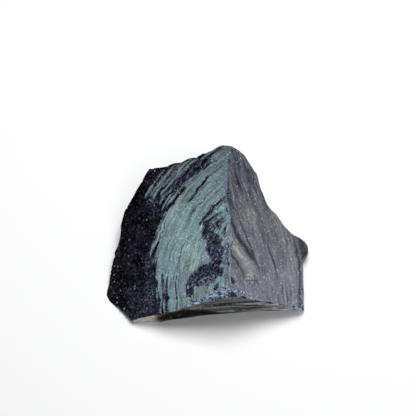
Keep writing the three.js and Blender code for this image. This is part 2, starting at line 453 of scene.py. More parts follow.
def makeMesh(name, places, faces):
    mesh = bpy.data.meshes.new(name)
    mesh.vertices.add(len(places))
    mesh.vertices.foreach_set("co", places.astype(np.float32).ravel())
    mesh.loops.add(faces.size)
    mesh.loops.foreach_set("vertex_index", faces.astype(np.int32).ravel())
    mesh.polygons.add(len(faces))
    mesh.polygons.foreach_set("loop_start", np.arange(0, faces.size, 3, dtype=np.int32))
    mesh.update(calc_edges=True)
    mesh.validate()
    return mesh


def writeAttribute(mesh, name, kind, domain, values):
    made = mesh.attributes.new(name, kind, domain)
    field = {"BOOLEAN": "value", "FLOAT_VECTOR": "vector", "FLOAT_COLOR": "color"}[kind]
    number = bool if kind == "BOOLEAN" else np.float32
    made.data.foreach_set(field, np.ascontiguousarray(values, number).ravel())


def markCreases(mesh, faces, ids):
    # an edge is sharp where the triangles on its two sides lie on different breaks or scars
    edgeOf = np.zeros(len(mesh.loops), np.int32)
    mesh.loops.foreach_get("edge_index", edgeOf)
    order = np.argsort(edgeOf, kind="stable")
    pairs = (order // 3).reshape(-1, 2)
    sharp = np.zeros(len(mesh.edges), bool)
    sharp[edgeOf[order].reshape(-1, 2)[:, 0]] = ids[pairs[:, 0]] != ids[pairs[:, 1]]
    mesh.polygons.foreach_set("use_smooth", np.ones(len(faces), bool))
    writeAttribute(mesh, "sharp_edge", "BOOLEAN", "EDGE", sharp)


stoneMesh = makeMesh("goldstone_skin", settled * mm, triangles)
markCreases(stoneMesh, triangles, owners)
stone = addObject("goldstone_skin", stoneMesh)
print("skin mesh", len(stoneMesh.vertices), len(stoneMesh.polygons))

# how the chunk is covered, in millimetres on it: bare glass shows its glitter, a sheen lies
# where the break is feathered so finely that it scatters the light; the sheen's pale colour is
# partly the feathered glass's own and partly painted reflection

sheen = {
    "cover": (-0.9, 1.6),  # well outside the sheet of sheen, and deep in it; 0.5 is its rim
    "rimSoft": 1.2,  # mm over which the sheet fades
    "splinters": (0.9, 0.8, 7),  # how far the rim is frayed, and width and length of its teeth
    "ringMiddle": (37.9, -32.8),  # the blow that made the left face, in plan
    "ringLean": (0.205, 0.966),  # the rings are flattened as the face leans
    "strokeTip": 0.3,  # half a stroke's width at its ends
    # how far out the sheet of sheen reaches, by angle round the blow
    "sheetRim": [
        (-8, 54.8), (-3, 55.2), (-1.5, 56.4), (10, 57), (14, 57.6), (19, 59), (28, 59.4), (33, 61),
        (39, 59.4), (46, 59.2), (54, 60.3), (62, 61),
    ],
    # strokes of sheen beyond the sheet: ring and angle at each end, width, strength
    "lightStrokes": [
        (64.8, 50, 66.8, 29, 4.8, 0.3), (69.5, 39, 69.2, 35.5, 0.35, 0.6),
        (69.5, 33.5, 69, 30, 0.9, 0.8), (66.9, 42, 67.6, 31, 0.8, 0.95),
        (65.8, 37.5, 66.3, 31, 0.4, 0.8), (64.4, 48, 65.7, 35, 1.1, 1),
        (63.1, 49, 64.7, 33.5, 0.7, 1), (62.9, 35.5, 63.2, 30, 0.45, 0.85),
        (61.4, 34.5, 61.7, 29, 0.4, 0.9), (61.6, 58, 61.9, 50, 0.4, 0.8),
        (58.8, 18.5, 59.8, 12.2, 0.5, 1.1), (57.4, 15, 57.9, 9.4, 0.3, 1),
    ],
    # slits of bare glass in the sheet, given the same way
    "darkStrokes": [
        (61.4, 55, 62, 32, 1.6, 0.75), (58.6, 39.5, 59.6, 29, 1.1, 1),
        (55.3, 54, 54.5, 36, 0.4, 0.75), (54.8, 47, 54.8, 41, 0.4, 0.7),
        (53.7, 49.5, 53.8, 42.5, 0.2, 0.5), (45.4, 48, 46.6, 30, 2.2, 0.6),
        (46.4, 48, 47, 31, 0.7, 0.4), (43.2, 41, 45.6, 31.5, 0.4, 0.7),
        (48.4, 23, 48.7, 16, 0.35, 0.5), (58.1, 17, 58, 7.5, 0.5, 0.7),
        (54.1, 6.5, 52.3, -3, 1.2, 0.7), (55.8, 4, 54.4, -5, 0.5, 0.7),
        (53.4, -1, 53.2, -8, 0.4, 0.7), (52.1, 5.5, 51.5, -2, 0.5, 0.8),
        (49.2, 6, 48.7, -3, 0.35, 0.6), (52, -2, 52.1, -8, 0.6, 0.8),
        (48.2, -4.5, 48.3, -7.5, 0.3, 0.6), (34.6, 28, 34.2, 23, 0.3, 0.6),
        (50.6, 41, 51.2, 33, 0.35, 0.4), (38.6, 36, 37.6, 30, 0.4, 0.5),
        (58, 58, 58.4, 48, 0.5, 0.45),
    ],
    # bare patches as chains of discs: strength, softness, then (x, y, radius) in plan of each
    "darkPatches": [
        (1.1, 1.4, (0, -0.4, 1.3), (0.3, -2.8, 2), (2.3, -6, 2.5), (2.9, -9, 3), (3.2, -11, 2.6),
         (4, -13.8, 2)),
        (0.9, 2.4, (1, -0.6, 1.4), (3.6, -1, 2), (5.4, 0.6, 1.4)),
        (1.15, 1.1, (-6, -23.8, 1.3), (-5.5, -20.4, 1.8), (-3.9, -17.7, 2), (-1, -16.6, 2.4),
         (1.8, -16.4, 2.4), (4.2, -17.6, 1.5), (4.9, -19.2, 0.5)),
        (0.95, 1.4, (-2.6, -20.4, 1.2), (0.2, -20.4, 1.7), (2.2, -19.2, 1.2)),
        (1, 1, (2.6, -23.4, 0.7), (3.6, -22, 0.8)),
        (0.8, 0.8, (6.2, -7.4, 0.2), (6.6, -9.4, 0.3), (6.8, -10.8, 0.15)),
        (0.6, 0.8, (5.6, -0.6, 0.15), (6.4, -2.8, 0.3), (6.2, -5, 0.15)),
        (0.55, 0.8, (6.4, -14.6, 0.2), (6.8, -16.8, 0.25), (6.4, -19.6, 0.15)),
        (0.8, 0.7, (-14.4, -23.6, 0.15), (-10.6, -24.5, 0.2), (-6.8, -24.7, 0.3)),
        (0.7, 1.4, (-5.6, -25.4, 0.8), (-5.4, -27.4, 1)),
    ],
    # thin arcs of sheen left standing in the bare patches, the same way
    "paleArcs": [
        (1, 0.6, (-3.4, -19.6, 0.1), (-1.2, -18.8, 0.25), (1.4, -18.4, 0.1)),
        (0.66, 1.6, (1.6, -12.9, 0.6), (5.2, -13, 0.8)),
        (1.2, 0.5, (-6.4, -20.2, 0.2), (-6.5, -21.3, 0.3)),
    ],
    # a thin blue bloom over bare glass, the same way
    "bloom": [
        (0.45, 2, (0, -0.4, 1.6), (1.8, -5, 2.6), (3.3, -9.2, 3.6), (3.5, -12, 3.4),
         (3.9, -14.4, 2.8)),
        (0.9, 1.6, (1.4, -12.9, 0.8), (5.2, -13, 1)),
        (0.7, 2.4, (1.5, -0.4, 1.6), (5.6, 1, 1.6)),
        (0.5, 1.4, (-5.5, -24.2, 2), (-5.3, -20.2, 2.2), (-3.8, -17.6, 2.4), (-1, -16.6, 2.8),
         (1.8, -16.5, 2.8), (4.2, -17.6, 2.2)),
        (0.95, 1.6, (-2.6, -20, 1.4), (0.2, -20.2, 1.8), (1.8, -19.2, 1.2)),
        (0.4, 1.8, (-0.6, 25.4, 0.8), (-4.3, 21.8, 1), (-8.4, 18, 1), (-11.6, 14.8, 0.8)),
        (0.5, 2, (-15.4, -18, 0.6), (-16.2, -23, 0.8), (-16.4, -27, 0.8)),
        (0.5, 6, (-26.5, -19, 1), (-24.5, -22, 2), (-21, -26, 2.5)),
        (0.5, 4, (-30, -26.5, 1), (-24, -28, 1.5)),
        (0.7, 3.5, (-20.8, -8, 0.5), (-20.5, -15, 0.8), (-20.4, -25, 1.4)),
        (0.45, 5, (-19.5, 12.5, 1), (-18, 8, 1)),
    ],
    # bare glass with hardly a flake in it, the same way
    "clear": [(0.75, 7, (-34, 4, 0.5), (-30, 12, 2), (-25, 19, 2.5))],
    # thin rosy lips round the bare patches, the same way
    "rosyLips": [
        (0.9, 0.6, (-5.2, -16.6, 0.05), (-3.2, -15, 0.15), (-1, -13.9, 0.15), (2.4, -13.8, 0.05)),
        (0.5, 0.6, (-3.4, -18, 0.1), (-0.6, -18.1, 0.2), (1.9, -17.4, 0.1)),
    ],
    "fanMiddle": (-3.9, -29.9),  # low on the right face the ripples run round this point
    "fanRim": (22.5, 23.5),  # how far out they give way to straight streaks
    "upRight": (-0.32, 0.961),  # the way up the right face, in plan
    "apexAt": 23,  # how far up that way the apex lies
    "streakLean": 0.34,  # the straight streaks lean this much at the apex
    "streakBend": 8750,  # mm squared; the more, the further down they run straight
    # grooves on the right face, darkened with painted shade, the same way
    "rightGrooveShade": [
        (0.6, 0.7, (9, 1, 0.4), (10.3, -3.4, 1), (12.2, -6, 0.9), (14.1, -8.4, 0.6),
         (17, -11.9, 0.3), (18.3, -14.6, 0.05)),
        (0.9, 0.6, (8.2, -10.2, 0.3), (8.3, -12.2, 0.35)),
        (0.65, 0.8, (8.6, -1.2, 0.1), (11, -5.2, 0.35), (14.2, -9, 0.4), (16.9, -12.2, 0.1)),
        (0.7, 0.7, (12.8, -0.6, 0.15), (14.2, -3.8, 0.3), (15.6, -7.8, 0.35), (17, -11.6, 0.2)),
        (0.7, 0.7, (8.4, -11.6, 0.35), (10.3, -13.6, 0.4), (12, -16.2, 0.3), (13.2, -19.4, 0.1)),
        (0.65, 0.6, (21.6, -4.2, 0.1), (22.7, -8, 0.3), (23.6, -11, 0.3), (24.9, -16.6, 0.1)),
        (0.4, 0.6, (18.1, -8.3, 0.1), (19.1, -11.4, 0.2), (19.5, -14.8, 0.1)),
        (0.5, 0.5, (13.8, -20, 0.15), (15.8, -19.3, 0.2), (17.8, -18.6, 0.15)),
        (0.4, 1.3, (7.6, 14, 0.2), (8.4, 7, 0.5), (9.4, 0, 0.6)),
        (0.45, 1.1, (9.6, 22, 0.1), (11, 17, 0.5), (12.4, 12, 0.4), (13.6, 7, 0.1)),
        (0.4, 0.9, (11.8, 18, 0.1), (13.8, 12.6, 0.3), (15.4, 7, 0.1)),
        (0.35, 1, (14.4, 17, 0.1), (15.8, 12, 0.3), (17.2, 6.4, 0.1)),
        (0.4, 0.8, (8.4, 20, 0.1), (9.4, 15, 0.3), (10.4, 9.6, 0.1)),
        (0.4, 0.8, (10.6, 7, 0.1), (11.8, 2, 0.35), (13, -1.6, 0.1)),
        (0.22, 1.6, (17.7, 4.8, 0.1), (19, 0.5, 0.5), (20.4, -4, 0.1)),
        (0.2, 1.4, (27.4, 2, 0.1), (28.6, -3, 0.4), (29.4, -8, 0.1)),
        (0.9, 0.7, (8.7, -20.8, 0.6), (9, -21.8, 0.6)),
        (0.6, 0.7, (30.8, 2.4, 0.1), (32.6, -2.6, 0.35), (33.4, -10, 0.35), (33.3, -17, 0.2),
         (33.1, -25.4, 0.3)),
        (0.5, 1, (34.2, 2.6, 1.6), (35.8, -1.4, 2.4), (35.6, -5, 1.4)),
    ],
    # painted shade on the front, in its dark lens and along its foot, and dark lines of its own, the
    # same way but with height for the second number
    "frontShadeAndLines": [
        (0.9, 1.6, (-17.3, 2.6, 0.8), (-13, 5, 3), (-7.5, 6, 3.8), (-2.3, 5.2, 3.3), (2, 4.4, 2),
         (6, 3.4, 0.8)),
        (0.5, 0.9, (-3, 9.8, 0.2), (4, 11.4, 0.4), (9, 12, 0.2)),
        (0.6, 0.7, (8, 10.4, 0.1), (14, 9.4, 0.4), (20, 8.4, 0.1)),
        (0.4, 0.7, (21, 8.2, 0.1), (25, 7.6, 0.35), (29, 6.8, 0.1)),
        (0.4, 1, (4, 7, 0.2), (12, 6.8, 0.4), (22, 5.8, 0.2)),
        (0.7, 1.2, (-4, 1, 0.7), (10, 1.4, 0.9), (32, 0.8, 0.6)),
    ],
    # where the edge over the front is crushed to crumbs
    "crumbLips": [
        (0.95, 2.6, (-9, -28, 0.2), (-4, -27.2, 1), (1.9, -26, 1.5), (5.2, -25, 1.9),
         (7.4, -24.6, 1.1)),
        (0.85, 1.5, (9.6, -24.8, 0.8), (12, -24.4, 0.8), (15.5, -24.6, 0.4), (21, -25.4, 0.1)),
        (0.7, 1.4, (33.4, -25.4, 0.9), (34, -21, 0.4), (34.2, -15, 0.1)),
    ],
    # places (front to back, across) where the sheens of the left and right faces meet
    "ridgeRun": [
        (-27, 8), (-15, 8.4), (-9.8, 8.5), (-6.7, 9.3), (-3.4, 8), (1.4, 8.3), (6, 7.5), (9.2, 6.8),
        (14.7, 7.3), (20.2, 7.6), (27, 8.8),
    ],
    "ridgeLips": [
        (0.6, 1, (8.3, -25, 0.5), (7.8, -16, 0.4), (7.4, -6, 0.5), (7.4, 4, 0.3), (7.6, 14, 0.1),
         (7.8, 23, 0.1)),
    ],
}


def inRings(places):
    # rings round the blow, a little flattened: distance and angle
    x, y = (places[:, :2] - sheen["ringMiddle"]).T
    leanX, leanY = sheen["ringLean"]
    y = leanX * x + leanY * y
    return np.hypot(x, y), np.degrees(np.arctan2(y, -x))


def softChain(places, discs, soft):
    # 1 inside a chain of discs in plan and 0 outside, fading across its rim; how deep inside is
    # the radius at the nearest link less the distance from it
    inside = np.full(len(places), -99.0)
    for (ax, ay, ar), (bx, by, br) in zip(discs, discs[1:]):
        link = np.array([bx - ax, by - ay])
        off = places[:, :2] - (ax, ay)
        t = np.clip(off @ link / (link @ link), 0, 1)
        away = np.linalg.norm(off - t[:, None] * link, axis=1)
        inside = np.maximum(inside, ar + (br - ar) * t - away)
    return np.clip(0.5 + inside / soft, 0, 1)


def chainCover(places, chains):
    # the strongest of several chains: each one's strength, fading over its softness
    cover = np.zeros(len(places))
    for strength, soft, *discs in chains:
        cover = np.maximum(cover, strength * softChain(places, discs, soft))
    return cover


def ringStroke(ring, angle, startRing, start, endRing, end, width):
    # a stroke that follows the rings, widest half way along: over 1 along its middle, falling
    # to its sides and on beyond them and its ends
    tip = sheen["strokeTip"]
    t = (angle - start) / (end - start)
    held = np.clip(t, 0, 1)
    middle = startRing + (endRing - startRing) * held
    past = np.abs(t - held) * abs(end - start)  # a degree is about a millimetre out here
    half = tip + width / 2 * (4 * held * (1 - held)) ** 0.4
    return tip + (1 - np.hypot(ring - middle, 0.5 * past) / half)


def leftSheen(places):
    # the sheet's cover by how far inside its frayed rim a place lies, with strokes laid over it
    ring, angle = inRings(places)
    low, high = sheen["cover"]
    rims = np.array(sheen["sheetRim"])
    fray, width, length = sheen["splinters"]
    rim = np.interp(angle, rims[:, 0], rims[:, 1])
    rim += fray * lumpNoise(ring / width, angle / length, 91)
    cover = np.clip(0.5 + (rim - ring) / sheen["rimSoft"], low, high)
    for *stroke, strength in sheen["darkStrokes"]:
        cover = cover - 1.8 * strength * np.clip(ringStroke(ring, angle, *stroke), 0, 1)
    for *stroke, strength in sheen["lightStrokes"]:
        cover = np.maximum(cover, strength * ringStroke(ring, angle, *stroke))
    cover = np.clip(cover - high * chainCover(places, sheen["darkPatches"]), low, high)
    return np.maximum(cover, (1 - low) * chainCover(places, sheen["paleArcs"]) + low)


def leftGrain(places):
    # streaks that follow the rings: across them is the distance, along them the angle
    ring, angle = inRings(places)
    return ring, angle * 0.8


def upRight(places):
    # how far up the right face, along its own slope
    return sheen["upRight"][1] * places[:, 1] + sheen["upRight"][0] * places[:, 0]


def rightDrop(places):
    # how far down the right face a place lies: 0 at the apex, 54 at the front
    return sheen["apexAt"] - upRight(places)


def rightGrain(places):
    # streaks that lean 19 degrees at the apex and straighten towards the front; next to the
    # ridge, low down, they are rings round the fan's middle instead
    drop, off = rightDrop(places), places[:, :2] - sheen["fanMiddle"]
    x, y = off[:, 0], upRight(off)
    bend = drop - drop**3 / sheen["streakBend"]
    low, high = np.hypot(x, y), places[:, 0] - sheen["streakLean"] * bend
    part = smoothStep(*sheen["fanRim"], low)
    return low * (1 - part) + (high + 60) * part, np.arctan2(y, x) * 20 * (1 - part) + drop * part


def frontGrain(places):
    # nearly level streaks: across them is the height, along them the way across the front
    return places[:, 2] * 0.5 + 0.02 * places[:, 0], places[:, 0] * 0.6


def along(values, stops):
    # a value or a colour that changes along one measure, eased straight between the stops
    marks = [s[0] for s in stops]
    levels = np.array([np.atleast_1d(s[1]) for s in stops], float)
    return np.stack([np.interp(values, marks, level) for level in levels.T], -1)


def toward(colour, code, share):
    # part of the way from each place's colour to one fixed colour
    return colour + (np.array(srgb(code)[:3]) - colour) * share[:, None]


def washed(measure, places, tint):
    # a colour that changes along one measure, then washes of others over chains of discs, each
    # with its softness, colour and share
    colour = along(measure, [(at, srgb(code)[:3]) for at, code in tint["stops"]])
    for soft, code, share, *discs in tint["washes"]:
        colour = toward(colour, code, softChain(places, discs, soft) * share)
    return colour


def drift(colour, grain, seed, warmth):
    # long smooth streaks that lean to warm or to cool
    u, v = grain
    lean = lumpNoise(u / 1.6, v / 9, seed) + 0.7 * lumpNoise(u / 5, v / 12, seed + 1)
    return colour * (1 + warmth * lean[:, None] * np.array([1, 0.1, -1]))


# colours of the sheen on each face, which is partly painted reflection
tints = {
    # blue-green, greyer to the apex and lower left, with a pale green middle
    "left": {
        "stops": [
            (-30, "#6f8488"), (-18, "#768a91"), (0, "#799193"), (8, "#748a8c"), (16, "#69797c"),
            (24, "#626f72"),
        ],
        "washes": [
            (2.2, "#626f80", 0.8, (7.2, -20, 1), (7.1, 0, 1.1), (7.5, 22, 0.8)),
            (5, "#8da59d", 0.45, (-7, -7, 2.5), (-5, -12, 2)),
            (2.4, "#6f8298", 0.7, (0.4, -1, 1), (1.4, -6, 2.2), (2.8, -12, 2.6), (2.8, -17, 2.6)),
            (1.6, "#6f8298", 0.7, (-6, -24, 1.2), (-6, -20, 1.2), (-3.4, -16, 1.4),
             (0.7, -14.6, 1.6)),
            (3, "#7890ac", 0.7, (-17.6, -20, 0.8), (-17, -25, 0.8)),
            (2.5, "#7890ac", 0.6, (-7.6, -16, 0.8), (-8.4, -22, 0.6)),
            (0.6, "#74a8dc", 1, (-6.4, -20.2, 0.2), (-6.5, -21.3, 0.3)),
        ],
        "lips": "#957b80",
        "warmth": 0.05,
    },
    # plain grey, darker and bluer up at the apex, lightest low down and in the fan
    "right": {
        "stops": [
            (0, "#494c55"), (12, "#50535b"), (22, "#5f6169"), (30, "#686a71"), (40, "#6d7077"),
            (54, "#787a83"),
        ],
        "washes": [
            (1.6, "#949595", 0.85, (9.6, -7.6, 0.9), (12.4, -11.4, 1.3), (14.7, -14.6, 1.3),
             (15.6, -19, 1)),
            (3, "#84868e", 0.6, (26, 4, 0.8), (30, -6, 1.2), (30.5, -22, 1.2)),
            (1.6, "#58565f", 0.5, (8.8, 24, 0.6), (8.4, 15, 0.8), (8.2, 4, 0.5)),
            (1.4, "#76757b", 0.5, (8.6, 13, 0.7), (9.4, 8, 0.7)),
            (5, "#86878b", 0.85, (14.4, 13.6, 0.2), (14, 8, 1.6), (15.6, 2.6, 2)),
            (3, "#3a3c46", 0.7, (10.4, 24, 0.6), (11.4, 20.6, 0.6)),
        ],
        # the painted shade laid in the grooves
        "grooveShade": "#26222e",
        "warmth": 0.03,
        "contrast": [(0, 4.2), (20, 2.2), (30, 1), (44, 1), (54, 1.5)],
    },
    # a pale toe, brown-grey across the middle and lighter again towards the right end; the pale toe
    # and the lighter right end are painted reflection of the pale floor, and a darker purple-grey
    # wash lies along the crest
    "front": {
        "stops": [
            (-27, "#c8c2bc"), (-19, "#bab4ae"), (-16.5, "#5a5a55"), (0, "#616160"), (10, "#6b6b6c"),
            (22, "#909092"), (31, "#c2c2c8"),
        ],
        "washes": [(2.5, "#625c63", 0.8, (2, 14.5, 0.8), (9, 16.6, 1.6), (16, 13, 0.6))],
        "shadeAndLinesFrom": (-18.5, -15),  # the toe has none
        "warmth": 0.05,
    },
}


def leftTint(places):
    # its washes change from front to back, and it is rosy at the lips of the bare patches
    tint = tints["left"]
    colour = washed(places[:, 1], places, tint)
    colour = toward(colour, tint["lips"], chainCover(places, sheen["rosyLips"]))
    return drift(colour, leftGrain(places), 81, tint["warmth"])


def rightTint(places):
    # its grooves get painted shade, darker by the square of what they leave open
    tint = tints["right"]
    colour = drift(washed(rightDrop(places), places, tint), rightGrain(places), 83, tint["warmth"])
    dark = 1 - (1 - chainCover(places, sheen["rightGrooveShade"])) ** 2
    return toward(colour, tint["grooveShade"], dark)


def rightContrast(places):
    # strongest at the apex
    return along(rightDrop(places), tints["right"]["contrast"])[:, 0]


def frontTint(places):
    # a nearly black olive lens and a dark band along the foot, both painted shade, and dark lines
    # of its own along the front
    tint, upright = tints["front"], places[:, [0, 2, 1]]
    colour = drift(washed(places[:, 0], upright, tint), frontGrain(places), 85, tint["warmth"])
    dark = chainCover(upright, sheen["frontShadeAndLines"]) * smoothStep(*tint["shadeAndLinesFrom"], places[:, 0])
    return colour * (1 - dark)[:, None] ** 2


def look(tint, cover, wander=0, grain=None, contrast=1):
    # colour of a break's sheen, how much is covered, how far that wanders, which way its streaks
    # run (else round its strike), and how strongly they show
    return {"tint": tint, "cover": cover, "wander": wander, "grain": grain, "contrast": contrast}


looks = {
    "leftFace": look(leftTint, leftSheen, 0, leftGrain, 2),
    "rightFace": look(rightTint, 1.6, 0.1, rightGrain, rightContrast),
    "frontFace": look(frontTint, 1.4, 0.2, frontGrain, 5),
    "frontFoot": look(frontTint, 1.4, 0.3, frontGrain, 5),
    "toeFoot": look(frontTint, 1.6, 0.1, frontGrain),
    "toeEnd": look("#5a6468", 0.35, 0.5),
    "leftWall": look("#6d8084", 0.05, 0.6),
    "leftShoulder": look("#6d8084", 0.15, 0.8),
    "backWall": look("#6f7a7e", 1, 0.9),
    "apexWall": look("#6f7f83", 0.8, 0.4),
    "sweepTop": look("#676970", 0.4, 0.7),
    "sweep": look("#5f626a", 0.4, 0.7),
    "rightWall": look("#4c4e57", 0.4, 0.6),
    "underBack": look("#6f7a7e", 0, 0.7),
    "restingBreak": look("#73757b", 0.6, 0.7),
}

# how edges are crushed and chipped, and where the front is worn
wear = {
    "wanders": [(71, 1.7), (72, 1.7), (73, 4)],  # noises the marks wander by: seed, width in mm
    "ridgeWander": 0.25,
    "ridgeNear": (8, 3),  # the two sheens meet less than 3 mm from here
    "lip": [(-27, 3), (9, 18.4), (34.4, 2.7)],  # the front's upper edge: across, height
    "wornBelow": (1.2, 2.6),  # this far below its lip the front is old and worn
    "wornPast": (-22, 32),  # and only further front and further left than this
    "frontCrumbs": 0.2,
    "scarCrumbs": 0.2,
    "scarCover": 0.5,
    "scarTint": "#565c6c",
    "chipped": 0.4,  # mm over which a chipped edge fades
    "leastChipped": 0.25,
}
kinds = list(looks)
left, right, front = (kinds.index(name) for name in ("leftFace", "rightFace", "frontFace"))
frontOwners = [kinds.index(name) for name in ("frontFace", "frontFoot", "toeFoot")]


def coverSkin():
    # for every triangle corner: grain (mm across the streaks, mm along them, the break's number),
    # cover (sheen, crumbs, closeness to an edge, bloom), tint (the sheen's colour, its contrast)
    corners = triangles.ravel()
    places, cornerOwners = points[corners], np.repeat(owners, 3)
    x, y, z = places.T
    scarred = cornerOwners >= len(breaks)
    # marks wander by a third of a millimetre, as nothing on a break is ruled
    wander = np.stack([lumpNoise(x / s, y / s, seed) for seed, s in wear["wanders"]], -1)
    drawn = places + wander * (0.3, 0.3, 0) + wander[:, [2, 0, 1]] * (0.4, 0, 0)
    crushed = chainCover(drawn, sheen["crumbLips"])
    crushed *= np.where(np.isin(cornerOwners, frontOwners), wear["frontCrumbs"], 1)
    # below its lip chips and edges keep the front's own colour
    lip = along(x, wear["lip"])[:, 0]
    past, until = wear["wornPast"]
    fresh = 1 - 0.95 * smoothStep(*wear["wornBelow"], lip - z) * (y < past) * (x < until)
    least = wear["leastChipped"]
    weight = least + (1 - least) * np.maximum(chainCover(places, sheen["ridgeLips"]), crushed)
    patchy = 0.65 + 0.35 * lumpNoise(x / 3 + z / 4, y / 3 - z / 5, 61)
    chipped = np.exp(-gap[corners] / wear["chipped"]) * patchy * (weight * fresh)
    crumbs = (np.where(scarred, wear["scarCrumbs"], 0) + crushed) * fresh
    bare = np.full(len(corners), wear["scarCover"])
    cover = np.stack([bare, crumbs, chipped, np.zeros(len(corners))], -1)
    grain, tint = places.copy(), np.ones((len(corners), 4))
    tint[:, :3] = srgb(wear["scarTint"])[:3]
    # the two sheens meet along a line that wanders a little to each side of the ridge
    ridge = along(y, sheen["ridgeRun"])[:, 0] + wear["ridgeWander"] * wander[:, 0]
    middle, reach = wear["ridgeNear"]
    onTop = np.isin(cornerOwners, [left, right]) & (np.abs(x - middle) < reach)
    onFront = scarred & (fresh < 0.5)
    side = np.where(x < ridge, left, right)
    cornerLooks = np.where(onTop, side, np.where(onFront, front, cornerOwners))
    for k, (name, kind) in enumerate(looks.items()):
        mine = np.flatnonzero(cornerLooks == k)
        spec, here = chunk["breaks"][name], drawn[mine]
        strike, ahead, across = breakFrame(spec)[2:]
        p, q = (here - strike) @ ahead, (here - strike) @ across
        u, v = kind["grain"](here) if kind["grain"] else (np.hypot(p, q), np.arctan2(q, p) * 30)
        grain[mine] = np.stack([u, v, np.full(len(mine), spec["seed"] * 7.0)], -1)
        if callable(kind["cover"]):
            cover[mine, 0] = kind["cover"](here)
            cover[mine, 3] = chainCover(here, sheen["bloom"]) - chainCover(here, sheen["clear"])
        else:
            patches = lumpNoise(u / 5, v / 14, spec["seed"] + 40)
            cover[mine, 0] = kind["cover"] + kind["wander"] * patches
        colour, contrast = kind["tint"], kind["contrast"]
        tint[mine, :3] = colour(here) if callable(colour) else srgb(colour)[:3]
        tint[mine, 3] = contrast(here) if callable(contrast) else contrast
    writeAttribute(stoneMesh, "grain", "FLOAT_VECTOR", "CORNER", grain)
    for name, values in (("cover", cover), ("tint", tint)):
        writeAttribute(stoneMesh, name, "FLOAT_COLOR", "CORNER", values)


coverSkin()
print("sheen and grain written")


def addNode(tree, kind, settings):
    # one node with its settings and inputs; a value that is another node's output is linked
    node = tree.nodes.new("ShaderNode" + kind)
    for name, value in settings.items():
        if isinstance(name, str) and hasattr(node, name):
            setattr(node, name, value)
        elif isinstance(value, bpy.types.NodeSocket):
            tree.links.new(value, node.inputs[name])
        else:
            node.inputs[name].default_value = value
    return node


glass = {
    # mm between flakes, drawn coarser than the real tenth, as finer ones vanish at this size
    "flake": 0.48,
    "bigFlake": 1.3,  # the few that stand out as sparks
    "crumb": 0.45,  # bits of a crushed edge
    "streak": (1.1, 16),  # mm across and along
    "fineStreak": (0.4, 7),
    "hair": (0.75, 12),
    "speckle": 1.6,  # how many to a millimetre
    "grit": 1.1,
    "blotch": 0.22,
    "roughen": (0.5, 2.1, 1.1, 0.3),  # by streaks, fine streaks, speckle and flakes
    "coverRim": (-0.1, 1.2),
    "glint": 0.13,  # how much of a small and of a big flake shows in bare glass
    "star": 0.7,
    "starInSheen": 0.6,
    "hues": [(0, "#6c74ac"), (0.3, "#b6bbe0"), (0.55, "#8478a8"), (0.75, "#c4b8b8"), (1, "#bea490")],
    "dust": [(0.36, "#010104"), (0.5, "#06060c"), (0.64, "#16131f")],
    "bloom": [(0, "#7c90b8"), (0.6, "#8c98be"), (1, "#b0a2ba")],
    "sparks": [(0, "#d8e2e6"), (0.6, "#e0dace"), (1, "#ccb4a2")],
    "crumbs": [(0, "#1a1522"), (0.35, "#403e5c"), (0.7, "#5f7aa6"), (1, "#9cbadc")],
    "bruisesAndGlints": ("#1e1722", "#cfe6fb"),
    "bump": (0.7, 0.00015),  # strength, depth in metres
}


